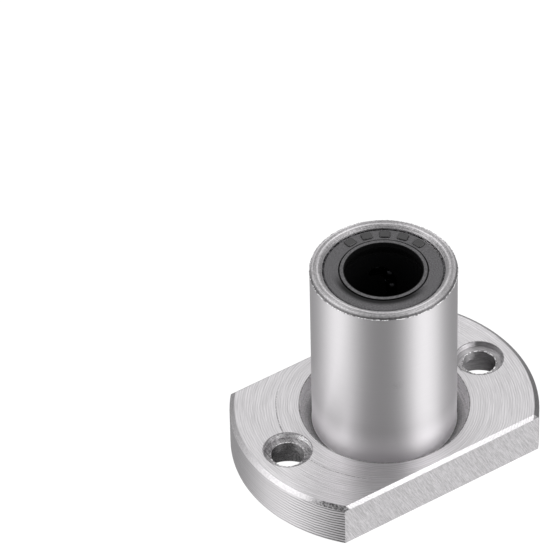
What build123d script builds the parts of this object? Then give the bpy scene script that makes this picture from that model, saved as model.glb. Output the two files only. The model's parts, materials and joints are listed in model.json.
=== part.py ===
from build123d import *
import os
from math import acos, asin, cos, degrees, pi, radians, sin

# Flanged linear ball bearing for an 8 mm shaft, in millimetres.
# The origin is the centre of the flange's underside. +Z runs up the tube and the two bolt holes lie on X.

# Shaft, balls and the room they roll in
shaft_diameter = 8.0
ball_diameter = 1.588
shaft_play = 0.01  # radial gap between the shaft and a loaded ball
raceway_play = 0.01  # radial gap between a loaded ball and its raceway
return_lift = 0.602  # how much further out a ball runs on its way back
ball_clearance = 0.05  # gap between a ball and the walls that guide it
circuit_count = 4
first_circuit_angle = 45.0
balls_per_turn = 3
turn_ball_gap = 0.045  # gap between neighbouring balls in a turn
turn_lean = 6.0  # degrees by which a turn leans outwards, to lift its balls off the shaft

# Sleeve: the tube
sleeve_length = 24.0
sleeve_wall = 1.25
tube_chamfer = 0.35
rim_face_width = 0.25
rim_fall = 0.08  # depth of the shallow cone inside the rim's flat face
mouth_chamfer = 0.25
mouth_chamfer_depth = 0.2
raceway_land_width = 2.3

# Sleeve: the flange
flange_diameter = 32.0
flange_width = 21.0  # across the two flats
flange_thickness = 5.0
flat_chamfer = 0.35  # along the top edge of each flat
rim_chamfer = 0.5  # width of the chamfer round the flange's turned top edge
rim_chamfer_height = 0.35
edge_break = 0.2  # along the flange's bottom edges
root_groove_width = 1.25
root_groove_depth = 1.6

# Sleeve: the bolt holes
bolt_spacing = 24.0
bolt_hole_diameter = 3.4
head_bore_diameter = 6.5
head_bore_depth = 3.3  # from the underside
spotface_diameter = 5.0
spotface_depth = 0.7  # from the flange's face, on the tube's side

# Retaining rings and their grooves in the sleeve
ring_show = 0.2  # width of the ring that shows round the seal's plate
ring_thickness = 0.45
ring_depth = 0.48  # from the sleeve's end face down to the ring
ring_seat = 0.2  # how far the ring reaches into its groove
ring_side_clearance = 0.02
ring_bottom_clearance = 0.03
ring_gap_angle = 37.0
ring_gap_direction = 2.0  # degrees from +X

# Seals
seal_depth = 0.35  # from the sleeve's end face down to the seal's plate
seal_thickness = 1.6
seal_clearance = 0.03
seal_plate_edge = 0.08
lip_play = 0.03  # radial gap between the lip and the shaft
lip_wall = 0.41
lip_length = 0.6
lip_rise = 0.05  # how far the lip stands above the plate
lip_groove_width = 0.16
lip_groove_depth = 0.45
seal_throat_flare = 0.47

# Ball cage
cage_clearance = 0.05
cage_bore_clearance = 0.25
cage_end_gap = 0.05
cage_end_wall = 1.2
core_overrun = 0.5  # how far a moulding core reaches past the cage's outer face

# Radii that follow from the shaft and the balls
ball_radius = ball_diameter / 2
load_radius = shaft_diameter / 2 + shaft_play + ball_radius
return_radius = load_radius + return_lift
raceway_radius = load_radius + ball_radius + raceway_play
relief_radius = return_radius + ball_radius + ball_clearance
tube_radius = relief_radius + sleeve_wall
channel_radius = ball_radius + ball_clearance

# One turn: its radius lets neighbouring balls clear each other, and one ball pitch is its arc shared out
turn_radius = (ball_diameter + turn_ball_gap) / (2 * sin(pi / (2 * balls_per_turn)))
ball_pitch = pi * turn_radius / balls_per_turn

# The cage fills the room between the seals, and its straight rows hold as many balls as fit
cage_bottom = seal_depth + seal_thickness + cage_end_gap
cage_length = sleeve_length - 2 * cage_bottom
cage_radius = relief_radius - cage_clearance
cage_bore_radius = shaft_diameter / 2 + cage_bore_clearance
turn_reach = turn_radius + channel_radius + cage_end_wall
balls_per_row = int((cage_length - 2 * turn_reach) / ball_pitch)
row_length = balls_per_row * ball_pitch
row_bottom = (sleeve_length - row_length) / 2

# A circuit's load row and return row stand one turn diameter apart
return_angle = degrees(
    acos((load_radius**2 + return_radius**2 - (2 * turn_radius) ** 2) / (2 * load_radius * return_radius))
)
land_half_angle = degrees(asin(raceway_land_width / 2 / raceway_radius))
land_clearance_angle = degrees(cage_clearance / raceway_radius)

# Raceway lands end in 45 degree ramps down to the relieved bore
ramp = relief_radius - raceway_radius
land_bottom = row_bottom - ramp
land_length = row_length + 2 * ramp

# Ring groove and ring
ring_inner_radius = relief_radius - ring_show + seal_clearance
ring_outer_radius = relief_radius + ring_seat
ring_groove_radius = ring_outer_radius + ring_bottom_clearance
ring_groove_depth = ring_depth - ring_side_clearance
ring_groove_width = ring_thickness + 2 * ring_side_clearance
ring_shelf_depth = ring_depth + ring_thickness + ring_side_clearance

# The two mouths of the sleeve: in both planes x is the radius and y the depth into the mouth
mouths = {
    "upper": Plane(origin=(0, 0, sleeve_length), x_dir=(1, 0, 0), z_dir=(0, 1, 0)),
    "lower": Plane(origin=(0, 0, 0), x_dir=(1, 0, 0), z_dir=(0, -1, 0)),
}


def ring_sector(inner_radius, outer_radius, centre_angle, half_angle):
    """A flat piece of a ring, either side of centre_angle."""
    with BuildSketch() as sector:
        with BuildLine():
            inner = CenterArc((0, 0), inner_radius, centre_angle - half_angle, 2 * half_angle)
            outer = CenterArc((0, 0), outer_radius, centre_angle - half_angle, 2 * half_angle)
            Line(inner @ 0, outer @ 0)
            Line(inner @ 1, outer @ 1)
        make_face()
    return sector.sketch


def polar_point(radius, angle, height):
    return Vector(radius * cos(radians(angle)), radius * sin(radians(angle)), height)


def row_points(angle):
    """Where one circuit's load row and return row cross mid-length, for its load row at this angle."""
    middle = sleeve_length / 2
    load_point = polar_point(load_radius, angle, middle)
    return_point = polar_point(return_radius, angle + return_angle, middle)
    return load_point, return_point


def circuit_plane(angle):
    """Plane of one circuit: x runs from load row to return row, y up the tube and z outwards."""
    load_point, return_point = row_points(angle)
    across = (return_point - load_point).normalized()
    return Plane(origin=(load_point + return_point) / 2, x_dir=across, z_dir=across.cross(Vector(0, 0, 1)))


def turn_plane(angle, end):
    """Plane of one turn, leaning outwards: end is 1 for the upper turn and -1 for the lower one."""
    circuit = circuit_plane(angle)
    normal = circuit.z_dir * cos(radians(turn_lean)) - circuit.y_dir * end * sin(radians(turn_lean))
    origin = circuit.origin + circuit.y_dir * end * row_length / 2
    return Plane(origin=origin, x_dir=circuit.x_dir * end, z_dir=normal)


# Flanged sleeve: turned from one bar, with the raceway ridge left standing in its bore
with BuildPart() as flanged_sleeve:
    flange_radius = flange_diameter / 2
    root_groove_radius = tube_radius + root_groove_width
    root_groove_floor = flange_thickness - root_groove_depth
    with BuildSketch(Plane.XZ):
        with BuildLine():
            Polyline(
                (relief_radius + mouth_chamfer, 0),
                (flange_radius - edge_break, 0),
                (flange_radius, edge_break),
                (flange_radius, flange_thickness - rim_chamfer_height),
                (flange_radius - rim_chamfer, flange_thickness),
                (root_groove_radius, flange_thickness),
                (root_groove_radius, root_groove_floor),
                (tube_radius, root_groove_floor),
                (tube_radius, sleeve_length - tube_chamfer),
                (tube_radius - tube_chamfer, sleeve_length),
                (tube_radius - tube_chamfer - rim_face_width, sleeve_length),
                (relief_radius + mouth_chamfer, sleeve_length - rim_fall),
                (relief_radius, sleeve_length - rim_fall - mouth_chamfer_depth),
                (relief_radius, land_bottom + land_length),
                (raceway_radius, land_bottom + land_length - ramp),
                (raceway_radius, land_bottom + ramp),
                (relief_radius, land_bottom),
                (relief_radius, mouth_chamfer_depth),
                close=True,
            )
        make_face()
    revolve(axis=Axis.Z)

    # Return reliefs, broached through the ridge, leave one raceway land for each circuit
    with BuildSketch(Plane.XY.offset(land_bottom)):
        pitch_angle = 360 / circuit_count
        for circuit in range(circuit_count):
            relief_centre = first_circuit_angle + (circuit + 0.5) * pitch_angle
            add(ring_sector(shaft_diameter / 2, relief_radius, relief_centre, pitch_angle / 2 - land_half_angle))
    extrude(amount=land_length, mode=Mode.SUBTRACT)

    # Groove for each retaining ring
    for end, mouth in mouths.items():
        groove_start = mouth.origin.Z + mouth.y_dir.Z * ring_groove_depth
        with BuildSketch(Plane.XY.offset(groove_start)):
            Circle(ring_groove_radius)
        extrude(amount=ring_groove_width * mouth.y_dir.Z, mode=Mode.SUBTRACT)

    # Two flats, each with its top edge chamfered and its bottom edge broken
    with BuildSketch(Plane.YZ):
        with BuildLine():
            half_width = flange_width / 2
            Polyline(
                (0, 0),
                (half_width - edge_break, 0),
                (half_width, edge_break),
                (half_width, flange_thickness - flat_chamfer),
                (half_width - flat_chamfer, flange_thickness),
                (half_width - flat_chamfer, sleeve_length),
                (0, sleeve_length),
                close=True,
            )
        make_face()
        mirror(about=Plane.YZ)
    extrude(amount=flange_radius, both=True, mode=Mode.INTERSECT)

    # Bolt holes: a spotface on the tube's side and a bore for the screw's head from below
    with Locations((0, 0, flange_thickness)):
        with GridLocations(bolt_spacing, 0, 2, 1):
            CounterBoreHole(bolt_hole_diameter / 2, spotface_diameter / 2, spotface_depth, flange_thickness)
    with BuildSketch(Plane.XY):
        with GridLocations(bolt_spacing, 0, 2, 1):
            Circle(head_bore_diameter / 2)
    extrude(amount=head_bore_depth, mode=Mode.SUBTRACT)
    underside_edges = flanged_sleeve.edges().filter_by(GeomType.CIRCLE).group_by(Axis.Z)[0]
    head_bore_edges = underside_edges.filter_by(lambda edge: abs(edge.radius - head_bore_diameter / 2) < 0.001)
    chamfer(head_bore_edges, edge_break)

flanged_sleeve.part.label = "flanged_sleeve"

# Core that moulds one circuit's channel: an oblong slot with a round bottom, cut straight in from outside
with BuildPart() as circuit_core:
    core_plane = circuit_plane(first_circuit_angle)
    chord_height = abs(core_plane.origin.dot(core_plane.z_dir))
    core_height = cage_radius + core_overrun - chord_height
    with BuildSketch() as channel_section:
        with BuildLine():
            Line((turn_radius + channel_radius, core_height), (turn_radius + channel_radius, 0))
            CenterArc((turn_radius, 0), channel_radius, 0, -180)
            Line((turn_radius - channel_radius, 0), (turn_radius - channel_radius, core_height))
            Line((turn_radius - channel_radius, core_height), (turn_radius + channel_radius, core_height))
        make_face()
        mirror(about=Plane.YZ)
    with BuildSketch(Plane(origin=core_plane.origin, x_dir=core_plane.x_dir, z_dir=-core_plane.y_dir)):
        add(channel_section.sketch)
    extrude(amount=row_length / 2, both=True)
    for end in (1, -1):
        turn_centre = core_plane.origin + core_plane.y_dir * end * row_length / 2
        start_direction = core_plane.x_dir * end
        with BuildSketch(Plane(origin=turn_centre, x_dir=start_direction, z_dir=-core_plane.y_dir * end)):
            add(channel_section.sketch.faces().sort_by(Axis.X)[-1])
        revolve(axis=Axis(turn_centre, core_plane.z_dir), revolution_arc=180)

# Ball cage: moulded in one piece, grooved along its length to slide in over the raceway lands
with BuildPart() as ball_cage:
    with BuildSketch(Plane.XY.offset(cage_bottom)):
        Circle(cage_radius)
        Circle(cage_bore_radius, mode=Mode.SUBTRACT)
        for circuit in range(circuit_count):
            groove_angle = first_circuit_angle + circuit * 360 / circuit_count
            land_groove = ring_sector(
                raceway_radius - cage_clearance, relief_radius, groove_angle, land_half_angle + land_clearance_angle
            )
            add(land_groove, mode=Mode.SUBTRACT)
    extrude(amount=cage_length)
    with PolarLocations(0, circuit_count):
        add(circuit_core.part, mode=Mode.SUBTRACT)

ball_cage.part.label = "ball_cage"

os.makedirs("parts", exist_ok=True)
export_step(flanged_sleeve.part, "parts/flanged_sleeve.step")
export_step(ball_cage.part, "parts/ball_cage.step")


def write_balls(name, centres):
    """One group of like balls, each ball a solid of its own."""
    with BuildPart() as balls:
        with Locations(*centres):
            Sphere(ball_radius)
    balls.part.label = name
    export_step(balls.part, f"parts/{name}.step")


# Balls: at rest each one stands in the middle of its pitch
for circuit in range(circuit_count):
    circuit_angle = first_circuit_angle + circuit * 360 / circuit_count
    row_heights = [row_bottom + (ball + 0.5) * ball_pitch for ball in range(balls_per_row)]
    for row_name, row_point in zip(("load", "return"), row_points(circuit_angle)):
        row_centres = [Vector(row_point.X, row_point.Y, height) for height in row_heights]
        write_balls(f"circuit_{circuit + 1}_{row_name}_balls", row_centres)
    for turn_name, end in (("upper", 1), ("lower", -1)):
        turn = turn_plane(circuit_angle, end)
        turn_angles = [(ball + 0.5) * pi / balls_per_turn for ball in range(balls_per_turn)]
        turn_centres = [
            turn.from_local_coords(Vector(turn_radius * cos(angle), turn_radius * sin(angle), 0))
            for angle in turn_angles
        ]
        write_balls(f"circuit_{circuit + 1}_{turn_name}_turn_balls", turn_centres)

# Seals and retaining rings, one of each in either mouth
for end, mouth in mouths.items():
    # Seal: a moulded rubber disc with a raised plate, a groove and a thin lip that wipes the shaft
    with BuildPart() as seal:
        lip_radius = shaft_diameter / 2 + lip_play
        lip_outer_radius = lip_radius + lip_wall
        plate_inner_radius = lip_outer_radius + lip_groove_width
        plate_radius = relief_radius - ring_show
        with BuildSketch(mouth):
            with BuildLine():
                Polyline(
                    (lip_radius, seal_depth - lip_rise),
                    (lip_outer_radius, seal_depth - lip_rise),
                    (lip_outer_radius, seal_depth + lip_groove_depth),
                    (plate_inner_radius, seal_depth + lip_groove_depth),
                    (plate_inner_radius, seal_depth),
                    (plate_radius - seal_plate_edge, seal_depth),
                    (plate_radius, seal_depth + seal_plate_edge),
                    (plate_radius, ring_shelf_depth),
                    (relief_radius - seal_clearance, ring_shelf_depth),
                    (relief_radius - seal_clearance, seal_depth + seal_thickness),
                    (lip_radius + seal_throat_flare, seal_depth + seal_thickness),
                    (lip_radius, seal_depth - lip_rise + lip_length),
                    close=True,
                )
            make_face()
        revolve(axis=Axis.Z)
    seal.part.label = f"{end}_seal"
    export_step(seal.part, f"parts/{end}_seal.step")

    # Retaining ring: open spring steel ring that snaps into the sleeve's groove over the seal's shelf
    with BuildPart() as retaining_ring:
        ring_start = mouth.origin.Z + mouth.y_dir.Z * ring_depth
        ring_half_angle = (360 - ring_gap_angle) / 2
        with BuildSketch(Plane.XY.offset(ring_start)):
            add(ring_sector(ring_inner_radius, ring_outer_radius, ring_gap_direction + 180, ring_half_angle))
        extrude(amount=ring_thickness * mouth.y_dir.Z)
    retaining_ring.part.label = f"{end}_retaining_ring"
    export_step(retaining_ring.part, f"parts/{end}_retaining_ring.step")
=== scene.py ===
import json
from math import cos, pi, radians, sin

import bmesh
import bpy
from mathutils import Matrix, Vector, noise


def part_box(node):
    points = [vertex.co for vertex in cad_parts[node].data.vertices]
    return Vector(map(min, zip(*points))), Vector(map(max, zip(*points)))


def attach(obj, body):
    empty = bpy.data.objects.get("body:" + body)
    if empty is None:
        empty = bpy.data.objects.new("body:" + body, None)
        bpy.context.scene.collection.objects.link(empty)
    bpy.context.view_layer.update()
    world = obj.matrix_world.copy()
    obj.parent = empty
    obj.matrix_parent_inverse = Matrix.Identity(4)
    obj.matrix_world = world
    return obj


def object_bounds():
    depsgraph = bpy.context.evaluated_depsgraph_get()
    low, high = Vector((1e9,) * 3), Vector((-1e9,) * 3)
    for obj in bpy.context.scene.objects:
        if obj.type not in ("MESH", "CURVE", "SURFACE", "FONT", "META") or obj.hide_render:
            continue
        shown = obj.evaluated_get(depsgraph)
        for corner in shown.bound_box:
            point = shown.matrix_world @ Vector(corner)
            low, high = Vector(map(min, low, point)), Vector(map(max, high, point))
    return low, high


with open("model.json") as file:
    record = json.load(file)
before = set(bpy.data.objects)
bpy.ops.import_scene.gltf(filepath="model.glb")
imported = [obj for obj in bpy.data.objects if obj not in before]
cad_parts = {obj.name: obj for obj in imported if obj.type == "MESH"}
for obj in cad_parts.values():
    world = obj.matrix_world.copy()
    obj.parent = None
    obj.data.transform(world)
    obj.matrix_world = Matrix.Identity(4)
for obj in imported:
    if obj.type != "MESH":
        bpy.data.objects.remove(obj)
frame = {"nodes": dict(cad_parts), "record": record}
cad_low, cad_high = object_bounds()
mm = 0.001


# Flanged sleeve: bearing steel, turned from one bar. The tube is ground on its outside, the two flats are
# ground across, and everything else keeps the fine rings of the turning tool. Its sizes are in millimetres.
sleeve_low, sleeve_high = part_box("flanged_sleeve")
mounts = {mount["name"]: mount for mount in frame["record"]["mounts"]}
sleeve_length = (sleeve_high.z - sleeve_low.z) / mm
flange_radius = sleeve_high.x / mm
half_width = sleeve_high.y / mm
flange_thickness = mounts["flange_face"]["pos_m"][2] / mm
tube_radius = mounts["tube_body"]["dims"]["r_mm"]
end_chamfer = 0.35
root_groove = 1.25
rim_chamfer = 0.5
rim_chamfer_height = 0.35
bolt_offset = mounts["flange_bolts"]["dims"]["spacing_x_mm"] / 2
hole_radius = mounts["flange_bolts"]["dims"]["hole_r_mm"]
head_bore_radius = 3.25
spotface_radius = 2.5
spotface_depth = 0.7


def linear(code, alpha=1.0):
    """A colour written as sRGB hex, as the linear values that a shader takes."""
    parts = [int(code[i : i + 2], 16) / 255 for i in (1, 3, 5)]
    return [p / 12.92 if p <= 0.04045 else ((p + 0.055) / 1.055) ** 2.4 for p in parts] + [alpha]


def heading(azimuth, elevation=0.0):
    """A direction of length one, from its azimuth about the shaft's axis and its elevation."""
    return Vector((cos(azimuth) * cos(elevation), sin(azimuth) * cos(elevation), sin(elevation)))


def add(tree, kind, inputs=None, **settings):
    """One node with its settings. An input is a value, a node whose first output feeds it, or a socket."""
    made = tree.nodes.new(kind)
    for name, value in settings.items():
        setattr(made, name, value)
    for key, value in (inputs or {}).items():
        if isinstance(value, bpy.types.Node):
            tree.links.new(value.outputs[0], made.inputs[key])
        elif isinstance(value, bpy.types.NodeSocket):
            tree.links.new(value, made.inputs[key])
        else:
            made.inputs[key].default_value = value
    return made


def new_material(name):
    """A material, and its node tree with nothing in it yet."""
    made = bpy.data.materials.new(name)
    made.use_nodes = True
    made.node_tree.nodes.clear()
    return made, made.node_tree


def dress(name, material):
    """Gives one CAD node its material."""
    materials = frame["nodes"][name].data.materials
    materials.clear()
    materials.append(material)


# Bearing steel, turned and ground: bright and slightly warm. Its scratches run round the axis, so a reflection
# smears across them and stays sharp along them, which gives the tube its upright bands.
steel, tree = new_material("ground_bearing_steel")
coordinates = add(tree, "ShaderNodeTexCoord").outputs["Object"]
place = add(tree, "ShaderNodeVectorMath", {0: coordinates, "Scale": 1 / mm}, operation="SCALE")
x, y, height = add(tree, "ShaderNodeSeparateXYZ", {0: place}).outputs
level_place = add(tree, "ShaderNodeVectorMath", {0: place, 1: (1, 1, 0)}, operation="MULTIPLY")
radius = add(tree, "ShaderNodeVectorMath", {0: level_place}, operation="LENGTH").outputs["Value"]
end_sign = add(tree, "ShaderNodeMath", {0: x}, operation="SIGN")
right_end = add(tree, "ShaderNodeMath", {0: x, 1: 0.0}, operation="GREATER_THAN")
bolt_x = add(tree, "ShaderNodeMath", {0: end_sign, 1: bolt_offset}, operation="MULTIPLY")
from_bolt = add(tree, "ShaderNodeMath", {0: x, 1: bolt_x}, operation="SUBTRACT")
bolt_place = add(tree, "ShaderNodeCombineXYZ", {"X": from_bolt, "Y": y})
bolt_distance = add(tree, "ShaderNodeVectorMath", {0: bolt_place}, operation="LENGTH").outputs["Value"]

# Where each finish is. Its limits lie a hair's breadth outside it, so that no sliver of it is left out.
hair = 0.01
root_radius = tube_radius + root_groove
land_height = flange_thickness - spotface_depth
on_tube = add(tree, "ShaderNodeMath", {0: radius, 1: tube_radius, 2: 3 * hair}, operation="COMPARE")
on_end = add(tree, "ShaderNodeMath", {0: height, 1: sleeve_length - end_chamfer + hair}, operation="GREATER_THAN")
side_y = add(tree, "ShaderNodeMath", {0: y}, operation="ABSOLUTE")
on_flat = add(tree, "ShaderNodeMath", {0: side_y, 1: half_width - hair}, operation="GREATER_THAN")
on_side = add(tree, "ShaderNodeMath", {0: radius, 1: flange_radius - hair}, operation="GREATER_THAN")
off_face = add(tree, "ShaderNodeMath", {0: height, 1: flange_thickness - hair}, operation="LESS_THAN")
off_underside = add(tree, "ShaderNodeMath", {0: height, 1: 5 * hair}, operation="GREATER_THAN")
near_root = add(tree, "ShaderNodeMath", {0: radius, 1: root_radius + hair}, operation="LESS_THAN")
in_root = add(tree, "ShaderNodeMath", {0: near_root, 1: off_face}, operation="MULTIPLY")
in_root = add(tree, "ShaderNodeMath", {0: in_root, 1: off_underside}, operation="MULTIPLY")
in_shoulder = add(tree, "ShaderNodeMath", {0: radius, 1: flange_radius - rim_chamfer}, operation="GREATER_THAN")
chamfer_foot = flange_thickness - rim_chamfer_height + 2 * hair
above_edge = add(tree, "ShaderNodeMath", {0: height, 1: chamfer_foot}, operation="GREATER_THAN")
on_rim = add(tree, "ShaderNodeMath", {0: in_shoulder, 1: above_edge}, operation="MULTIPLY")
near_bolt = add(tree, "ShaderNodeMath", {0: bolt_distance, 1: head_bore_radius + 5 * hair}, operation="LESS_THAN")
in_bolt = add(tree, "ShaderNodeMath", {0: near_bolt, 1: off_face}, operation="MULTIPLY")
in_bore = add(tree, "ShaderNodeMath", {0: bolt_distance, 1: hole_radius + 3 * hair}, operation="LESS_THAN")
below_land = add(tree, "ShaderNodeMath", {0: height, 1: land_height - 10 * hair}, operation="LESS_THAN")
deep = add(tree, "ShaderNodeMath", {0: in_bore, 1: below_land}, operation="MAXIMUM")
on_land = add(tree, "ShaderNodeMath", {0: height, 1: land_height, 2: 3 * hair}, operation="COMPARE")

# Direction of the scratches: round the axis, round a bolt hole, or slantwise down a flat
upright = (0, 0, 1)
flat_scratch = (0.446, 0.0, -0.895)
normal = add(tree, "ShaderNodeNewGeometry").outputs["Normal"]
round_axis = add(tree, "ShaderNodeVectorMath", {0: upright, 1: level_place}, operation="CROSS_PRODUCT")
round_bolt = add(tree, "ShaderNodeVectorMath", {0: upright, 1: bolt_place}, operation="CROSS_PRODUCT")
turned = add(tree, "ShaderNodeMix", {"Factor": in_bolt, 4: round_axis, 5: round_bolt}, data_type="VECTOR")
along = add(tree, "ShaderNodeMix", {"Factor": on_flat, 4: turned.outputs[1], 5: flat_scratch}, data_type="VECTOR")
across = add(tree, "ShaderNodeVectorMath", {0: normal, 1: along.outputs[1]}, operation="CROSS_PRODUCT")
tangent = add(tree, "ShaderNodeVectorMath", {0: across}, operation="NORMALIZE")

# Rings left by the turning tool: fine ones everywhere, 11 to a millimetre, that break up slowly round the part,
# and one every quarter of a millimetre on the face. The real ones are finer and wouldn't show at this size.
rings_per_mm = 11.0
ring_drift = 0.03
speckles_per_mm = 5.0
patches_per_mm = 0.35
face_pitch = 0.25
ring_place = add(tree, "ShaderNodeCombineXYZ", {"X": radius, "Y": height})
drift = add(tree, "ShaderNodeVectorMath", {0: place, "Scale": ring_drift}, operation="SCALE")
ring_vector = add(tree, "ShaderNodeVectorMath", {0: ring_place, 1: drift}, operation="ADD")
rings = add(
    tree, "ShaderNodeTexNoise", {"Vector": ring_vector, "Scale": rings_per_mm, "Detail": 2.0, "Roughness": 0.7}
)
patches = add(tree, "ShaderNodeTexNoise", {"Vector": place, "Scale": patches_per_mm, "Detail": 2.0})
speckle = add(
    tree, "ShaderNodeTexNoise", {"Vector": place, "Scale": speckles_per_mm, "Detail": 3.0, "Roughness": 0.7}
)
face_wander = add(tree, "ShaderNodeMath", {0: patches, 1: 0.6, 2: radius}, operation="MULTIPLY_ADD")
face_turns = add(tree, "ShaderNodeMath", {0: face_wander, 1: face_pitch}, operation="DIVIDE")
face_wave = add(tree, "ShaderNodeMath", {0: face_turns, 1: 0.5}, operation="PINGPONG")
face_lines = add(
    tree, "ShaderNodeMapRange",
    {"Value": face_wave, "From Min": 0.1, "From Max": 0.4, "To Min": 0.9, "To Max": 1.03},
    interpolation_type="SMOOTHSTEP",
)
ring_marks = add(
    tree, "ShaderNodeMapRange", {"Value": rings, "From Min": 0.3, "From Max": 0.7, "To Min": 0.84, "To Max": 1.14}
)
ring_tone = add(tree, "ShaderNodeMath", {0: ring_marks, 1: face_lines}, operation="MULTIPLY")
ring_relief = add(tree, "ShaderNodeMath", {0: rings, 1: 0.045}, operation="MULTIPLY")

# A dotted line that the tool left on the face, where it stopped. It shows beyond the left hole only.
stop_radius = 11.2
stop_width = 0.1
off_stop = add(tree, "ShaderNodeMath", {0: radius, 1: stop_radius}, operation="SUBTRACT")
off_stop = add(tree, "ShaderNodeMath", {0: off_stop}, operation="ABSOLUTE")
on_stop = add(tree, "ShaderNodeMapRange", {"Value": off_stop, "From Max": stop_width, "To Min": 1.0, "To Max": 0.0})
dots = add(tree, "ShaderNodeMapRange", {"Value": speckle, "From Min": 0.42, "From Max": 0.5})
far_left = add(tree, "ShaderNodeMapRange", {"Value": x, "From Min": -6.5, "From Max": -9.0})
stop_dots = add(tree, "ShaderNodeMath", {0: on_stop, 1: dots}, operation="MULTIPLY")
stop_line = add(tree, "ShaderNodeMath", {0: stop_dots, 1: far_left}, operation="MULTIPLY")
stop_tone = add(tree, "ShaderNodeMath", {0: stop_line, 1: -0.55, 2: ring_tone}, operation="MULTIPLY_ADD")

# A nick in the face beside the right hole
nick_place = (9.62, -0.35, flange_thickness)
nick_distance = add(tree, "ShaderNodeVectorMath", {0: place, 1: nick_place}, operation="DISTANCE").outputs["Value"]
nick = add(tree, "ShaderNodeMapRange", {"Value": nick_distance, "From Min": 0.45, "From Max": 0.1})
nick_marks = add(tree, "ShaderNodeMath", {0: nick, 1: dots}, operation="MULTIPLY")
face_tone = add(tree, "ShaderNodeMath", {0: nick_marks, 1: -0.75, 2: stop_tone}, operation="MULTIPLY_ADD")

# Feed lines round the flange's edge. They are deepest at the corner that the tool came to last at each end,
# which run_out measures: the near corner at the left end and the far one at the right.
feed_pitch = 0.36
wander = add(tree, "ShaderNodeMath", {0: patches, 1: 0.5, 2: height}, operation="MULTIPLY_ADD")
turns = add(tree, "ShaderNodeMath", {0: wander, 1: feed_pitch}, operation="DIVIDE")
wave = add(tree, "ShaderNodeMath", {0: turns, 1: 0.5}, operation="PINGPONG")
crest = add(
    tree, "ShaderNodeMapRange", {"Value": wave, "From Min": 0.24, "From Max": 0.42},
    interpolation_type="SMOOTHSTEP",
)
run_out = add(tree, "ShaderNodeMath", {0: y, 1: end_sign}, operation="MULTIPLY")
towards_corner = add(
    tree, "ShaderNodeMapRange",
    {"Value": run_out, "From Min": 2.0, "From Max": half_width, "To Min": 0.12, "To Max": 1.0},
)
side_marks = add(tree, "ShaderNodeMath", {0: crest, 1: towards_corner}, operation="MULTIPLY")
fine_marks = add(
    tree, "ShaderNodeMapRange", {"Value": rings, "From Min": 0.3, "From Max": 0.7, "To Min": 0.86, "To Max": 1.04}
)
side_tone = add(tree, "ShaderNodeMath", {0: side_marks, 1: -0.85, 2: fine_marks}, operation="MULTIPLY_ADD")
side_relief = add(tree, "ShaderNodeMath", {0: side_marks, 1: -0.03, 2: ring_relief}, operation="MULTIPLY_ADD")

# The chamfer round the flange's turned edge is patchy and torn at those same corners. Painted shade darkens it a
# little at the left end and much more at the right end, graded across the flange at each.
torn = add(
    tree, "ShaderNodeMapRange", {"Value": run_out, "From Min": 6.2, "From Max": 8.8},
    interpolation_type="SMOOTHSTEP",
)
rim_patch = add(
    tree, "ShaderNodeMapRange",
    {"Value": speckle, "From Min": 0.38, "From Max": 0.62, "To Min": 0.84, "To Max": 1.02},
)
# Painted shade on the chamfer: a little at the left end, more at the right end
left_rim_painted_shade = add(
    tree, "ShaderNodeMapRange", {"Value": run_out, "From Min": -8.0, "From Max": 2.0, "To Min": 0.78, "To Max": 1.0}
)
right_rim_painted_shade = add(
    tree, "ShaderNodeMapRange", {"Value": y, "From Min": -9.0, "From Max": 2.0, "To Min": 0.4, "To Max": 0.7}
)
rim_painted_shade = add(tree, "ShaderNodeMix", {"Factor": right_end, 2: left_rim_painted_shade, 3: right_rim_painted_shade}, data_type="FLOAT")
rim_whole = add(tree, "ShaderNodeMath", {0: rim_patch, 1: rim_painted_shade}, operation="MULTIPLY")
rim_torn = add(
    tree, "ShaderNodeMapRange",
    {"Value": speckle, "From Min": 0.42, "From Max": 0.62, "To Min": 0.12, "To Max": 0.6},
)
rim_tone = add(tree, "ShaderNodeMix", {"Factor": torn, 2: rim_whole, 3: rim_torn}, data_type="FLOAT")

# Scratches of the ground flats, all one way, 13 to a millimetre and 17 times as long as they are wide. The
# grinding wheel's own are finer, so these are drawn coarse enough to show.
scratches_per_mm = 13.0
scratch_squeeze = 0.06
beside_scratch = (-flat_scratch[2], 0.0, flat_scratch[0])
flat_across = add(tree, "ShaderNodeVectorMath", {0: place, 1: beside_scratch}, operation="DOT_PRODUCT")
flat_along = add(tree, "ShaderNodeVectorMath", {0: place, 1: flat_scratch}, operation="DOT_PRODUCT")
flat_squeezed = add(
    tree, "ShaderNodeMath", {0: flat_along.outputs["Value"], 1: scratch_squeeze}, operation="MULTIPLY"
)
flat_vector = add(
    tree, "ShaderNodeCombineXYZ", {"X": flat_across.outputs["Value"], "Y": flat_squeezed, "Z": side_y}
)
scratches = add(
    tree, "ShaderNodeTexNoise", {"Vector": flat_vector, "Scale": scratches_per_mm, "Detail": 3.0, "Roughness": 0.9}
)
flat_tone = add(
    tree, "ShaderNodeMapRange",
    {"Value": scratches, "From Min": 0.37, "From Max": 0.63, "To Min": 0.72, "To Max": 1.22},
)
flat_relief = add(tree, "ShaderNodeMath", {0: scratches, 1: 0.03}, operation="MULTIPLY")
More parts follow.
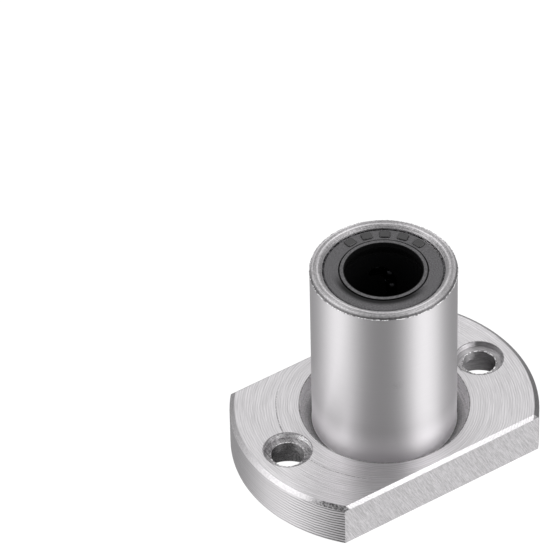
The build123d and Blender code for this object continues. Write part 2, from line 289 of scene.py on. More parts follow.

# The tube is ground: almost smooth, with one scuff at the front, and painted light makes it brighter towards its
# root
scuff_place = (-3.05, -6.85, 14.5)
scuff_distance = add(
    tree, "ShaderNodeVectorMath", {0: place, 1: scuff_place}, operation="DISTANCE"
).outputs["Value"]
scuff = add(tree, "ShaderNodeMapRange", {"Value": scuff_distance, "From Min": 0.7, "From Max": 0.2})
worn = add(tree, "ShaderNodeMapRange", {"Value": speckle, "From Min": 0.42, "From Max": 0.6})
scuff_marks = add(tree, "ShaderNodeMath", {0: scuff, 1: worn}, operation="MULTIPLY")
ground_tone = add(
    tree, "ShaderNodeMapRange", {"Value": rings, "From Min": 0.3, "From Max": 0.7, "To Min": 0.98, "To Max": 1.01}
)
scuffed_tone = add(tree, "ShaderNodeMath", {0: scuff_marks, 1: -0.14, 2: ground_tone}, operation="MULTIPLY_ADD")
tube_painted_light = add(
    tree, "ShaderNodeMapRange", {"Value": height, "From Min": 8.5, "From Max": 4.8, "To Min": 1.0, "To Max": 1.5},
    interpolation_type="SMOOTHSTEP",
)
tube_tone = add(tree, "ShaderNodeMath", {0: scuffed_tone, 1: tube_painted_light}, operation="MULTIPLY")
tube_relief = add(tree, "ShaderNodeMath", {0: rings, 1: 0.003}, operation="MULTIPLY")

# The root groove was left as rough turned. Painted shade makes it dark at the tube's foot, and painted light makes
# it lighter up its outer wall
rough_turned = add(tree, "ShaderNodeMath", {0: speckle, 1: rings}, operation="ADD")
root_marks = add(
    tree, "ShaderNodeMapRange",
    {"Value": rough_turned, "From Min": 0.8, "From Max": 1.2, "To Min": 0.65, "To Max": 1.0},
)
groove_painted_shade_and_light = add(
    tree, "ShaderNodeMapRange",
    {"Value": radius, "From Min": tube_radius, "From Max": root_radius, "To Min": 0.3, "To Max": 1.6},
)
root_tone = add(tree, "ShaderNodeMath", {0: root_marks, 1: groove_painted_shade_and_light}, operation="MULTIPLY")

# The bolt holes were left as drilled, with rings about 0.18 mm apart that wander a little
drill_pitch = 0.18
drill_drift = 0.2
drill_place = add(tree, "ShaderNodeCombineXYZ", {"X": bolt_distance, "Y": height})
drill_wander = add(tree, "ShaderNodeVectorMath", {0: place, "Scale": drill_drift}, operation="SCALE")
drill_vector = add(tree, "ShaderNodeVectorMath", {0: drill_place, 1: drill_wander}, operation="ADD")
drilled = add(
    tree, "ShaderNodeTexNoise", {"Vector": drill_vector, "Scale": 1 / drill_pitch, "Detail": 3.0, "Roughness": 0.7}
)
drill_marks = add(
    tree, "ShaderNodeMapRange",
    {"Value": drilled, "From Min": 0.35, "From Max": 0.65, "To Min": 0.76, "To Max": 1.1},
)
drill_relief = add(tree, "ShaderNodeMath", {0: drilled, 1: 0.06}, operation="MULTIPLY")

# Painted light and shade make one side of each spotface and bore lighter and the other darker, and the through hole
# darker than the rest as painted shade. The tool chattered in the left hole. Each hole has its own levels, for the
# spotface's wall, its land and the bore below.
hole_light_azimuth = radians(146)
hole_lit_side = add(
    tree, "ShaderNodeVectorMath", {0: bolt_place, 1: heading(hole_light_azimuth)}, operation="DOT_PRODUCT"
).outputs["Value"]
left_wall_painted_light = add(
    tree, "ShaderNodeMapRange", {"Value": hole_lit_side, "From Min": 1.3, "From Max": 0.9, "To Min": 1.15, "To Max": 1.6}
)
right_wall_painted_light = add(
    tree, "ShaderNodeMapRange", {"Value": hole_lit_side, "From Min": 0.2, "From Max": 0.5, "To Min": 0.68, "To Max": 1.4}
)
left_bore_painted_light = add(
    tree, "ShaderNodeMapRange", {"Value": hole_lit_side, "From Min": -1.6, "From Max": 1.6, "To Min": 0.75, "To Max": 0.3}
)
right_bore_painted_light = add(
    tree, "ShaderNodeMapRange", {"Value": hole_lit_side, "From Min": -1.6, "From Max": 1.3, "To Min": 0.2, "To Max": 1.15}
)
chatter = add(
    tree, "ShaderNodeMapRange",
    {"Value": rough_turned, "From Min": 0.85, "From Max": 1.15, "To Min": 0.6, "To Max": 1.4},
)
wall_side, land_side, bore_side, chattered = (
    add(tree, "ShaderNodeMix", {"Factor": right_end, 2: left, 3: right}, data_type="FLOAT")
    for left, right in ((left_wall_painted_light, right_wall_painted_light), (0.72, 0.9), (left_bore_painted_light, right_bore_painted_light), (chatter, 1.0))
)
step_side = add(tree, "ShaderNodeMix", {"Factor": on_land, 2: wall_side, 3: land_side}, data_type="FLOAT")
bore_painted_shade = add(tree, "ShaderNodeMapRange", {"Value": in_bore, "To Min": 1.25, "To Max": 0.8})
bore_side = add(tree, "ShaderNodeMath", {0: bore_side, 1: bore_painted_shade}, operation="MULTIPLY")
hole_side = add(tree, "ShaderNodeMix", {"Factor": deep, 2: step_side, 3: bore_side}, data_type="FLOAT")
drill_tone = add(tree, "ShaderNodeMath", {0: drill_marks, 1: hole_side}, operation="MULTIPLY")
drill_tone = add(tree, "ShaderNodeMath", {0: drill_tone, 1: chattered}, operation="MULTIPLY")

# The tube's end, rough turned too, with painted light on it: a painted highlight ring on its flat face and another
# at its outer edge, which is painted bright on the far side and darker on the near one, with a painted line of
# shade low on the chamfer there
flat_highlight_ring = (6.72, 0.15, 0.8)
edge_highlight_ring = (7.2, 0.14, 0.6)
end_light_azimuth = radians(65)
shade_line_radius = 7.4
shade_line_width = 0.07
end_tone = add(
    tree, "ShaderNodeMapRange",
    {"Value": rough_turned, "From Min": 0.8, "From Max": 1.2, "To Min": 0.42, "To Max": 0.85},
)
end_relief = add(tree, "ShaderNodeMath", {0: rough_turned, 1: 0.03}, operation="MULTIPLY")
# Painted highlight rings on the tube's end
for ring_radius, ring_reach, highlight_gain in (flat_highlight_ring, edge_highlight_ring):
    off_ring = add(tree, "ShaderNodeMath", {0: radius, 1: ring_radius}, operation="SUBTRACT")
    off_ring = add(tree, "ShaderNodeMath", {0: off_ring}, operation="ABSOLUTE")
    gain = add(
        tree, "ShaderNodeMapRange",
        {"Value": off_ring, "From Max": ring_reach, "To Min": 1 + highlight_gain, "To Max": 1.0},
        interpolation_type="SMOOTHSTEP",
    )
    end_tone = add(tree, "ShaderNodeMath", {0: end_tone, 1: gain}, operation="MULTIPLY")
outer_edge = add(
    tree, "ShaderNodeMapRange", {"Value": radius, "From Min": 7.05, "From Max": 7.2},
    interpolation_type="SMOOTHSTEP",
)
# Painted light on the far side of the outer edge, painted shade on the near side
end_lit_side = add(
    tree, "ShaderNodeVectorMath", {0: place, 1: heading(end_light_azimuth)}, operation="DOT_PRODUCT"
).outputs["Value"]
end_painted_light = add(
    tree, "ShaderNodeMapRange",
    {"Value": end_lit_side, "From Min": -5.0, "From Max": 5.0, "To Min": 0.72, "To Max": 1.75},
)
edge_painted_light = add(tree, "ShaderNodeMix", {"Factor": outer_edge, 2: 1.0, 3: end_painted_light}, data_type="FLOAT")
# A painted line of shade low on the chamfer, on the near side
on_shade_line = add(tree, "ShaderNodeMath", {0: radius, 1: shade_line_radius, 2: shade_line_width}, operation="COMPARE")
end_shaded_side = add(tree, "ShaderNodeMapRange", {"Value": end_lit_side, "From Min": 2.0, "From Max": 0.0})
end_shade_line = add(tree, "ShaderNodeMath", {0: on_shade_line, 1: end_shaded_side}, operation="MULTIPLY")
end_painted_shade = add(tree, "ShaderNodeMapRange", {"Value": end_shade_line, "To Min": 1.0, "To Max": 0.6})
for gain in (edge_painted_light, end_painted_shade):
    end_tone = add(tree, "ShaderNodeMath", {0: end_tone, 1: gain}, operation="MULTIPLY")
end_tone = add(tree, "ShaderNodeMath", {0: end_tone, 1: 1.2}, operation="MINIMUM")

# A rough dark line where the root groove or a spotface breaks out of the face
root_edge = add(tree, "ShaderNodeMath", {0: radius, 1: root_radius + 5 * hair, 2: 7 * hair}, operation="COMPARE")
spotface_edge = add(
    tree, "ShaderNodeMath", {0: bolt_distance, 1: spotface_radius + 3 * hair, 2: 5 * hair}, operation="COMPARE"
)
broken_edge = add(tree, "ShaderNodeMath", {0: root_edge, 1: spotface_edge}, operation="MAXIMUM")
edge_tone = add(
    tree, "ShaderNodeMapRange",
    {"Value": speckle, "From Min": 0.4, "From Max": 0.6, "To Min": 0.25, "To Max": 0.6},
)

# Each finish in its place, with its tone, relief and roughness. The turned face comes first, and a later
# finish covers an earlier one.
tone, relief, roughness = face_tone, ring_relief, 0.33
for mask, zone_tone, zone_relief, zone_roughness in (
    (broken_edge, edge_tone, end_relief, 0.4),
    (on_rim, rim_tone, end_relief, 0.36),
    (on_side, side_tone, side_relief, 0.38),
    (in_bolt, drill_tone, drill_relief, 0.55),
    (in_root, root_tone, ring_relief, 0.55),
    (on_tube, tube_tone, tube_relief, 0.42),
    (on_end, end_tone, end_relief, 0.48),
    (on_flat, flat_tone, flat_relief, 0.45),
):
    tone = add(tree, "ShaderNodeMix", {"Factor": mask, 2: tone, 3: zone_tone}, data_type="FLOAT")
    relief = add(tree, "ShaderNodeMix", {"Factor": mask, 2: relief, 3: zone_relief}, data_type="FLOAT")
    roughness = add(tree, "ShaderNodeMix", {"Factor": mask, 2: roughness, 3: zone_roughness}, data_type="FLOAT")
bare_steel = linear("#CAC8CA")[:3]
toned = add(tree, "ShaderNodeVectorMath", {0: bare_steel, "Scale": tone}, operation="SCALE")
bump = add(tree, "ShaderNodeBump", {"Height": relief, "Distance": mm, "Strength": 1.0})
shader = add(
    tree, "ShaderNodeBsdfPrincipled",
    {"Base Color": toned, "Metallic": 1.0, "Roughness": roughness, "Anisotropic": 0.93, "Tangent": tangent,
     "Normal": bump},
)
add(tree, "ShaderNodeOutputMaterial", {"Surface": shader})
dress("flanged_sleeve", steel)


# Burrs of the sleeve's own steel: the drill pushed one up round each bolt hole, the chamfering tool left one
# under the tube's end, and the flats cut the turned edge in four upright ones.
burr_radius = 0.07 * mm
end_burr_radius = 0.04 * mm
burr_rough = 0.04 * mm
burr_step = 0.1 * mm
ring_burr_lump = 0.3 * mm
corner_burr_lump = 0.2 * mm
corner_burr_length = (flange_thickness - 0.9) * mm
corner_burr_inset = 1.5 * burr_radius
corner_x = (flange_radius**2 - half_width**2) ** 0.5


def add_piece(name, mesh, material):
    """An object made of a finished bmesh, in one material."""
    data = bpy.data.meshes.new(name)
    mesh.to_mesh(data)
    mesh.free()
    data.materials.append(material)
    made = bpy.data.objects.new(name, data)
    bpy.context.scene.collection.objects.link(made)
    return made


# Torn edge of the steel: fresh metal that catches the light in bright specks of about 0.2 mm
fleck_size = 0.2 * mm
torn_steel, tree = new_material("torn_bearing_steel")
coordinates = add(tree, "ShaderNodeTexCoord").outputs["Object"]
flecks = add(tree, "ShaderNodeTexNoise", {"Vector": coordinates, "Scale": 1 / fleck_size, "Detail": 3.0})
fleck_tone = add(tree, "ShaderNodeMapRange", {"Value": flecks, "From Min": 0.4, "From Max": 0.6})
blend = add(
    tree, "ShaderNodeMix", {"Factor": fleck_tone, 6: linear("#7E7C7E"), 7: linear("#F8F7F8")}, data_type="RGBA"
)
bump = add(tree, "ShaderNodeBump", {"Height": flecks, "Distance": 0.05 * mm})
shader = add(
    tree, "ShaderNodeBsdfPrincipled",
    {"Base Color": blend.outputs[2], "Metallic": 1.0, "Roughness": 0.45, "Normal": bump},
)
add(tree, "ShaderNodeOutputMaterial", {"Surface": shader})

for name, centre_x, ring_radius, ring_height, thickness in (
    ("left_hole_burr", -bolt_offset * mm, hole_radius * mm + burr_radius, land_height * mm, 0.6 * burr_radius),
    ("right_hole_burr", bolt_offset * mm, hole_radius * mm + burr_radius, land_height * mm, burr_radius),
    ("tube_end_burr", 0.0, tube_radius * mm, (sleeve_length - end_chamfer) * mm, end_burr_radius),
):
    burr_mesh = bmesh.new()
    made = bmesh.ops.create_circle(burr_mesh, segments=6, radius=thickness)
    stand = Matrix.Translation((ring_radius, 0, ring_height)) @ Matrix.Rotation(pi / 2, 4, "X")
    bmesh.ops.transform(burr_mesh, matrix=stand, verts=made["verts"])
    bmesh.ops.spin(
        burr_mesh, geom=burr_mesh.edges[:], cent=(0, 0, 0), axis=(0, 0, 1), angle=2 * pi,
        steps=round(2 * pi * ring_radius / burr_step), use_merge=True,
    )
    bmesh.ops.recalc_face_normals(burr_mesh, faces=burr_mesh.faces)
    for vertex in burr_mesh.verts:
        outward = Vector((vertex.co.x, vertex.co.y, 0)).normalized()
        seed = vertex.co / ring_burr_lump + Vector((0, 0, centre_x / mm))
        vertex.co += outward * burr_rough * noise.noise(seed) + Vector((0, 0, burr_rough * noise.noise(-seed)))
        vertex.co.x += centre_x
    burr = add_piece(name, burr_mesh, torn_steel)
    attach(burr, "housing")

corner_mesh = bmesh.new()
for corner_sign in ((-1, -1), (-1, 1), (1, -1), (1, 1)):
    made = bmesh.ops.create_cone(
        corner_mesh, cap_ends=True, cap_tris=False, segments=6, radius1=burr_radius, radius2=burr_radius,
        depth=corner_burr_length,
    )
    corner_place = Vector((
        corner_sign[0] * corner_x * mm,
        corner_sign[1] * (half_width * mm - corner_burr_inset),
        flange_thickness / 2 * mm,
    ))
    bmesh.ops.translate(corner_mesh, vec=corner_place, verts=made["verts"])
tall_edges = [e for e in corner_mesh.edges if e.calc_length() > corner_burr_length / 2]
bmesh.ops.subdivide_edges(corner_mesh, edges=tall_edges, cuts=30, use_grid_fill=True)
for vertex in corner_mesh.verts:
    seed = vertex.co / corner_burr_lump
    vertex.co.x += 0.5 * burr_rough * noise.noise(seed)
    vertex.co.y += 0.5 * burr_rough * noise.noise(-seed)
corner_burrs = add_piece("corner_burrs", corner_mesh, torn_steel)
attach(corner_burrs, "housing")


# Ball cage: one moulding in black acetal, with its channels moulded in, slid into the sleeve and held between
# the seals. The eye gets a soft satin black with the mould's fine grain.
grain_size = 0.15 * mm
resin, tree = new_material("moulded_acetal")
coordinates = add(tree, "ShaderNodeTexCoord").outputs["Object"]
grain = add(tree, "ShaderNodeTexNoise", {"Vector": coordinates, "Scale": 1 / grain_size, "Detail": 3.0})
blend = add(
    tree, "ShaderNodeMix", {"Factor": grain, 6: linear("#0C0C0D"), 7: linear("#151516")}, data_type="RGBA"
)
gloss = add(tree, "ShaderNodeMapRange", {"Value": grain, "To Min": 0.38, "To Max": 0.5})
bump = add(tree, "ShaderNodeBump", {"Height": grain, "Distance": 0.004 * mm})
shader = add(
    tree, "ShaderNodeBsdfPrincipled",
    {"Base Color": blend.outputs[2], "Roughness": gloss, "IOR": 1.48, "Specular IOR Level": 0.15, "Normal": bump},
)
add(tree, "ShaderNodeOutputMaterial", {"Surface": shader})
dress("ball_cage", resin)


# Balls: through-hardened chrome steel, lapped to a mirror, and coloured near black as painted shade for the dark
# bore they sit in. The eye gets a dim sharp reflection with a faint haze of rolling marks.
mark_size = 0.25 * mm
ball_steel, tree = new_material("lapped_chrome_steel")
coordinates = add(tree, "ShaderNodeTexCoord").outputs["Object"]
marks = add(tree, "ShaderNodeTexNoise", {"Vector": coordinates, "Scale": 1 / mark_size, "Detail": 4.0})
haze = add(tree, "ShaderNodeMapRange", {"Value": marks, "To Min": 0.2, "To Max": 0.3})
blend = add(
    tree, "ShaderNodeMix", {"Factor": marks, 6: linear("#1C1C1E"), 7: linear("#29292B")}, data_type="RGBA"
)
shader = add(
    tree, "ShaderNodeBsdfPrincipled", {"Base Color": blend.outputs[2], "Metallic": 1.0, "Roughness": haze}
)
add(tree, "ShaderNodeOutputMaterial", {"Surface": shader})
for name in frame["nodes"]:
    if name.endswith("_balls"):
        dress(name, ball_steel)


# Seals: moulded nitrile rubber, one in each mouth, held by its retaining ring. The eye gets a matt dark grey with
# the fine mottle of the mould, a little lighter than the cage, and black painted shade in its throat and round its
# lip.
seal_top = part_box("upper_seal")[1].z
middle = (cad_low.z + cad_high.z) / 2
mottle_size = 0.12 * mm
lip_inner = 4.1 * mm
lip_outer = 4.45 * mm
lip_height = 0.6 * mm
moat_radius = 4.52 * mm
moat_width = 0.09 * mm
lip_shadow_radius = 4.8 * mm
lip_shadow_fade_radius = 5.45 * mm
lip_shadow_azimuth = radians(225)
rubber, tree = new_material("moulded_nitrile_rubber")
coordinates = add(tree, "ShaderNodeTexCoord").outputs["Object"]
mottle = add(
    tree, "ShaderNodeTexNoise", {"Vector": coordinates, "Scale": 1 / mottle_size, "Detail": 4.0, "Roughness": 0.6}
)
mottled = add(tree, "ShaderNodeMapRange", {"Value": mottle, "From Min": 0.35, "From Max": 0.65})
blend = add(
    tree, "ShaderNodeMix", {"Factor": mottled, 6: linear("#525153"), 7: linear("#7C7B7D")}, data_type="RGBA"
)

# Painted shade in black: in the throat behind the lip, in the moat round it, and a painted shadow beside the lip
# over the plate on the near side
seal_place = add(tree, "ShaderNodeVectorMath", {0: coordinates, 1: (1, 1, 0)}, operation="MULTIPLY")
seal_radius = add(tree, "ShaderNodeVectorMath", {0: seal_place}, operation="LENGTH").outputs["Value"]
seal_height = add(tree, "ShaderNodeSeparateXYZ", {0: coordinates}).outputs["Z"]
from_middle = add(tree, "ShaderNodeMath", {0: seal_height, 1: middle}, operation="SUBTRACT")
from_middle = add(tree, "ShaderNodeMath", {0: from_middle}, operation="ABSOLUTE")
behind_lip = add(tree, "ShaderNodeMath", {0: from_middle, 1: seal_top - middle - lip_height}, operation="LESS_THAN")
on_lip = add(tree, "ShaderNodeMath", {0: seal_radius, 1: lip_inner}, operation="LESS_THAN")
throat_shade = add(tree, "ShaderNodeMath", {0: on_lip, 1: behind_lip}, operation="MAXIMUM")
seal_bearing = add(tree, "ShaderNodeVectorMath", {0: seal_place}, operation="NORMALIZE")
lip_shadow_side = add(
    tree, "ShaderNodeVectorMath", {0: seal_bearing, 1: heading(lip_shadow_azimuth)}, operation="DOT_PRODUCT"
).outputs["Value"]
lip_shadow_here = add(
    tree, "ShaderNodeMapRange", {"Value": lip_shadow_side, "From Min": 0.2, "From Max": 0.75},
    interpolation_type="SMOOTHSTEP",
)
near_lip = add(
    tree, "ShaderNodeMapRange", {"Value": seal_radius, "From Min": lip_shadow_fade_radius, "From Max": lip_shadow_radius},
    interpolation_type="SMOOTHSTEP",
)
outside_lip = add(tree, "ShaderNodeMath", {0: seal_radius, 1: lip_outer}, operation="GREATER_THAN")
# Painted shadow of the lip on the plate, on the near side
lip_shadow = add(tree, "ShaderNodeMath", {0: near_lip, 1: lip_shadow_here}, operation="MULTIPLY")
lip_shadow = add(tree, "ShaderNodeMath", {0: lip_shadow, 1: outside_lip}, operation="MULTIPLY")
in_moat = add(tree, "ShaderNodeMath", {0: seal_radius, 1: moat_radius, 2: moat_width}, operation="COMPARE")
moat_shade_level = add(tree, "ShaderNodeMapRange", {"Value": lip_shadow_here, "To Min": 0.35, "To Max": 1.0})
moat_shade = add(tree, "ShaderNodeMath", {0: in_moat, 1: moat_shade_level}, operation="MULTIPLY")
seal_painted_shade = add(tree, "ShaderNodeMath", {0: throat_shade, 1: moat_shade}, operation="MAXIMUM")
seal_painted_shade = add(tree, "ShaderNodeMath", {0: seal_painted_shade, 1: lip_shadow}, operation="MAXIMUM")
shaded_rubber = add(tree, "ShaderNodeMix", {"Factor": seal_painted_shade, 6: blend.outputs[2], 7: linear("#060607")}, data_type="RGBA")
bump = add(tree, "ShaderNodeBump", {"Height": mottle, "Distance": 0.02 * mm})
shader = add(
    tree, "ShaderNodeBsdfPrincipled",
    {"Base Color": shaded_rubber.outputs[2], "Roughness": 0.6, "IOR": 1.52, "Specular IOR Level": 0.2, "Normal": bump},
)
add(tree, "ShaderNodeOutputMaterial", {"Surface": shader})
for name in ("upper_seal", "lower_seal"):
    dress(name, rubber)

# The mould is polished at the pads, so they come out smooth and catch the light, with shallow dimples
dimple_size = 0.3 * mm
glossy_rubber, tree = new_material("polished_nitrile_rubber")
coordinates = add(tree, "ShaderNodeTexCoord").outputs["Object"]
dimples = add(tree, "ShaderNodeTexNoise", {"Vector": coordinates, "Scale": 1 / dimple_size, "Detail": 2.0})
bump = add(tree, "ShaderNodeBump", {"Height": dimples, "Distance": 0.03 * mm})
blend = add(
    tree, "ShaderNodeMix", {"Factor": dimples, 6: linear("#1C1B1D"), 7: linear("#2A292B")}, data_type="RGBA"
)
shader = add(
    tree, "ShaderNodeBsdfPrincipled",
    {"Base Color": blend.outputs[2], "Roughness": 0.16, "IOR": 1.52, "Normal": bump},
)
add(tree, "ShaderNodeOutputMaterial", {"Surface": shader})

# Raised pads on the upper seal, moulded with it, in a row on its plate, with rounded corners and tops
pad_count = 5
pad_pitch = radians(20.5)
pad_middle = radians(54.0)
pad_radius = 5.3 * mm
pad_width = 1.1 * mm
pad_depth = 0.95 * mm
pad_rise = 0.15 * mm
pad_corner = 0.2 * mm
pad_rounding = 0.1 * mm
plate_top = seal_top - 0.05 * mm
pad_mesh = bmesh.new()
bmesh.ops.create_cube(pad_mesh, size=1.0)
bmesh.ops.scale(pad_mesh, vec=(pad_depth, pad_width, 2 * pad_rise), verts=pad_mesh.verts)
upright_edges = [e for e in pad_mesh.edges if abs(e.verts[0].co.z - e.verts[1].co.z) > pad_rise]
bmesh.ops.bevel(
    pad_mesh, geom=upright_edges, offset=pad_corner, segments=4, profile=0.5, affect="EDGES", material=-1
)
top_edges = [e for e in pad_mesh.edges if min(v.co.z for v in e.verts) > 0]
bmesh.ops.bevel(
    pad_mesh, geom=top_edges, offset=pad_rounding, segments=3, profile=0.5, affect="EDGES", material=-1
)
first_turn = pad_middle - (pad_count - 1) / 2 * pad_pitch
seat = Matrix.Rotation(first_turn, 4, "Z") @ Matrix.Translation((pad_radius, 0, plate_top))
bmesh.ops.transform(pad_mesh, matrix=seat, verts=pad_mesh.verts)
bmesh.ops.spin(
    pad_mesh, geom=pad_mesh.verts[:] + pad_mesh.edges[:] + pad_mesh.faces[:], cent=(0, 0, 0), axis=(0, 0, 1),
    angle=(pad_count - 1) * pad_pitch, steps=pad_count - 1, use_duplicate=True,
)
bmesh.ops.recalc_face_normals(pad_mesh, faces=pad_mesh.faces)
pads = add_piece("upper_seal_pads", pad_mesh, glossy_rubber)
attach(pads, "housing")


# Retaining rings: blued spring steel, open, snapped into their grooves over the seals. The eye gets a dark
# grey with short bright wear marks.
wear_size = 0.2 * mm
spring, tree = new_material("blued_spring_steel")
coordinates = add(tree, "ShaderNodeTexCoord").outputs["Object"]
wear = add(
    tree, "ShaderNodeTexNoise", {"Vector": coordinates, "Scale": 1 / wear_size, "Detail": 5.0, "Roughness": 0.7}
)
shine = add(tree, "ShaderNodeMapRange", {"Value": wear, "From Min": 0.45, "From Max": 0.7})
blend = add(
    tree, "ShaderNodeMix", {"Factor": shine, 6: linear("#121214"), 7: linear("#8A898C")}, data_type="RGBA"
)
bump = add(tree, "ShaderNodeBump", {"Height": wear, "Distance": 0.02 * mm})
shader = add(
    tree, "ShaderNodeBsdfPrincipled",
    {"Base Color": blend.outputs[2], "Metallic": 1.0, "Roughness": 0.4, "Normal": bump},
)
add(tree, "ShaderNodeOutputMaterial", {"Surface": shader})
for name in ("upper_retaining_ring", "lower_retaining_ring"):
    dress(name, spring)


# Camera: a long lens from the front left, looking down steeply. The aim point on the axis lands on its own
# pixel of the 550 pixel frame, which puts the bearing low and right, as in the photograph.
camera_azimuth = radians(235.647)
camera_elevation = radians(43.417)
camera_roll = radians(-0.308)
camera_distance = 0.54548
camera_lens = 348.0
sensor_width = 36.0
frame_pixels = 550
aim_point = Vector((0, 0, 10 * mm))
aim_pixel = (384.14, 368.24)
back = heading(camera_azimuth, camera_elevation)
right = heading(camera_azimuth + pi / 2)
up = back.cross(right)
rolled_right = right * cos(camera_roll) + up * sin(camera_roll)
rolled_up = up * cos(camera_roll) - right * sin(camera_roll)
facing = Matrix((rolled_right, rolled_up, back)).transposed()
focal_pixels = camera_lens / sensor_width * frame_pixels
sight = Vector((
    (aim_pixel[0] - frame_pixels / 2) / focal_pixels,
    (frame_pixels / 2 - aim_pixel[1]) / focal_pixels,
    -1,
))
swing = sight.rotation_difference(Vector((0, 0, -1))).to_matrix()
camera_data = bpy.data.cameras.new("camera")
camera_data.lens = camera_lens
camera_data.sensor_width = sensor_width
camera = bpy.data.objects.new("camera", camera_data)
camera.matrix_world = Matrix.Translation(aim_point + back * camera_distance) @ (facing @ swing).to_4x4()
bpy.context.scene.collection.objects.link(camera)
bpy.context.scene.camera = camera


# Table: a white sheet, a fiftieth of a millimetre below the part, so that the two don't flicker together. The
# camera sees it as plain white with a faint shadow. Beside the part, metal sees through it to the room.
table_width = 3.0
table_gap = 0.02 * mm
glow_strength = 1.12
glow_share = 0.9
leak_share = 0.3
white, tree = new_material("white_table")
rays = add(tree, "ShaderNodeLightPath")
paper = add(tree, "ShaderNodeBsdfDiffuse", {"Color": linear("#F2F2F2")})
glow = add(tree, "ShaderNodeEmission", {"Color": (1, 1, 1, 1), "Strength": glow_strength})
seen = add(tree, "ShaderNodeMixShader", {0: glow_share, 1: paper, 2: glow})
clear = add(tree, "ShaderNodeBsdfTransparent")
spot = add(tree, "ShaderNodeTexCoord").outputs["Object"]
spot_x, spot_y = (
    add(tree, "ShaderNodeMath", {0: level}, operation="ABSOLUTE")
    for level in add(tree, "ShaderNodeSeparateXYZ", {0: spot}).outputs[:2]
)
from_axis = add(tree, "ShaderNodeVectorMath", {0: spot}, operation="LENGTH").outputs["Value"]
outside_edge = add(tree, "ShaderNodeMath", {0: from_axis, 1: sleeve_high.x}, operation="GREATER_THAN")
outside_flat = add(tree, "ShaderNodeMath", {0: spot_y, 1: sleeve_high.y}, operation="GREATER_THAN")
beside = add(tree, "ShaderNodeMath", {0: outside_edge, 1: outside_flat}, operation="MAXIMUM")
mirrored = add(
    tree, "ShaderNodeMath", {0: rays.outputs["Is Glossy Ray"], 1: rays.outputs["Is Transmission Ray"]},
    operation="MAXIMUM",
)
passed = add(tree, "ShaderNodeMath", {0: mirrored, 1: beside}, operation="MULTIPLY")

# From under the bolt holes outwards the sheet gives off some of its white, which lights the holes from below
below_bolts = add(
    tree, "ShaderNodeMath", {0: spot_x, 1: (bolt_offset - head_bore_radius) * mm}, operation="GREATER_THAN"
)
leaked = add(tree, "ShaderNodeMath", {0: below_bolts, 1: leak_share}, operation="MULTIPLY")
glowing = add(tree, "ShaderNodeMath", {0: rays.outputs["Is Camera Ray"], 1: leaked}, operation="MAXIMUM")
lit = add(tree, "ShaderNodeMixShader", {0: glowing, 1: paper, 2: seen})
surface = add(tree, "ShaderNodeMixShader", {0: passed, 1: lit, 2: clear})
add(tree, "ShaderNodeOutputMaterial", {"Surface": surface})
table_mesh = bmesh.new()
bmesh.ops.create_grid(table_mesh, x_segments=1, y_segments=1, size=table_width / 2)
table = add_piece("table", table_mesh, white)
table.location.z = -table_gap


# Room: white all round to the camera. Metal sees walls that are brightest in two pools beside the camera,
# where the softboxes stand, and a bright ceiling with a shade in it on the camera's side.
left_azimuth = radians(166.0)
right_azimuth = radians(298.0)
pool_width = radians(21.0)
wall_level = 0.37
pool_level = 1.30
ceiling_level = 1.30
high_level = 0.15
shade_level = 0.48
shade_reach = radians(52)
shade_core = radians(32)
fill_level = 0.55
world = bpy.data.worlds.new("room")
world.use_nodes = True
bpy.context.scene.world = world
tree = world.node_tree
tree.nodes.clear()
direction = add(tree, "ShaderNodeTexCoord").outputs["Generated"]
rise = add(tree, "ShaderNodeSeparateXYZ", {0: direction}).outputs["Z"]
level_direction = add(tree, "ShaderNodeVectorMath", {0: direction, 1: (1, 1, 0)}, operation="MULTIPLY")
bearing = add(tree, "ShaderNodeVectorMath", {0: level_direction}, operation="NORMALIZE")
pools = []
for azimuth in (left_azimuth, right_azimuth):
    towards = add(tree, "ShaderNodeVectorMath", {0: bearing, 1: heading(azimuth)}, operation="DOT_PRODUCT")
    away = add(tree, "ShaderNodeMath", {0: towards.outputs["Value"], 1: -1.0}, operation="ADD")
    falling = add(tree, "ShaderNodeMath", {0: away, 1: pool_width**-2}, operation="MULTIPLY")
    pools.append(add(tree, "ShaderNodeMath", {0: falling}, operation="EXPONENT"))
both = add(tree, "ShaderNodeMath", {0: pools[0], 1: pools[1]}, operation="ADD")
walls = add(tree, "ShaderNodeMath", {0: both, 1: pool_level, 2: wall_level}, operation="MULTIPLY_ADD")
near_camera = add(
    tree, "ShaderNodeVectorMath", {0: bearing, 1: heading(camera_azimuth)}, operation="DOT_PRODUCT"
).outputs["Value"]
sector = add(
    tree, "ShaderNodeMapRange", {"Value": near_camera, "From Min": cos(shade_reach), "From Max": cos(shade_core)},
    interpolation_type="SMOOTHSTEP",
)
below_top = add(
    tree, "ShaderNodeMapRange", {"Value": rise, "From Min": 0.97, "From Max": 0.85},
    interpolation_type="SMOOTHSTEP",
)
shade = add(tree, "ShaderNodeMath", {0: sector, 1: below_top}, operation="MULTIPLY")
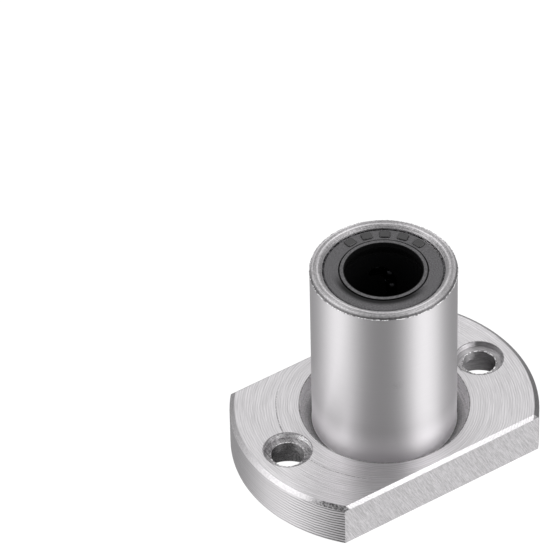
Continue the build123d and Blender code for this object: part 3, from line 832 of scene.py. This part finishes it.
open_ceiling = add(tree, "ShaderNodeMath", {0: pools[0], 1: high_level, 2: ceiling_level}, operation="MULTIPLY_ADD")
ceiling = add(tree, "ShaderNodeMix", {"Factor": shade, 2: open_ceiling, 3: shade_level}, data_type="FLOAT")
overhead = add(
    tree, "ShaderNodeMapRange", {"Value": rise, "From Min": 0.25, "From Max": 0.6},
    interpolation_type="SMOOTHSTEP",
)
shown = add(tree, "ShaderNodeMix", {"Factor": overhead, 2: walls, 3: ceiling}, data_type="FLOAT")
rays = add(tree, "ShaderNodeLightPath")
mirrored = add(
    tree, "ShaderNodeMath", {0: rays.outputs["Is Glossy Ray"], 1: rays.outputs["Is Transmission Ray"]},
    operation="MAXIMUM",
)
fill = add(tree, "ShaderNodeMix", {"Factor": mirrored, 2: fill_level, 3: shown}, data_type="FLOAT")
brightness = add(
    tree, "ShaderNodeMix", {"Factor": rays.outputs["Is Camera Ray"], 2: fill, 3: 1.0}, data_type="FLOAT"
)
backdrop = add(tree, "ShaderNodeBackground", {"Color": (1, 1, 1, 1), "Strength": brightness})
add(tree, "ShaderNodeOutputWorld", {"Surface": backdrop})


# Lamps: two softboxes beside the camera, which are what the chamfers show as white. Each is given by its
# azimuth and elevation in degrees, its width and height in metres, and its radiance.
lamp_distance = 0.6
for name, azimuth, elevation, width, tall, radiance in (
    ("left_softbox", 152.0, 47.0, 0.30, 0.26, 1.9),
    ("right_softbox", 302.0, 37.0, 0.42, 0.26, 2.4),
):
    lamp_data = bpy.data.lights.new(name, "AREA")
    lamp_data.shape = "RECTANGLE"
    lamp_data.size = width
    lamp_data.size_y = tall
    lamp_data.energy = radiance * pi * width * tall
    lamp = bpy.data.objects.new(name, lamp_data)
    towards_lamp = heading(radians(azimuth), radians(elevation))
    lamp.location = towards_lamp * lamp_distance
    lamp.rotation_mode = "QUATERNION"
    lamp.rotation_quaternion = towards_lamp.to_track_quat("Z", "Y")
    lamp.visible_camera = False
    bpy.context.scene.collection.objects.link(lamp)

bpy.context.scene.view_settings.view_transform = "Standard"
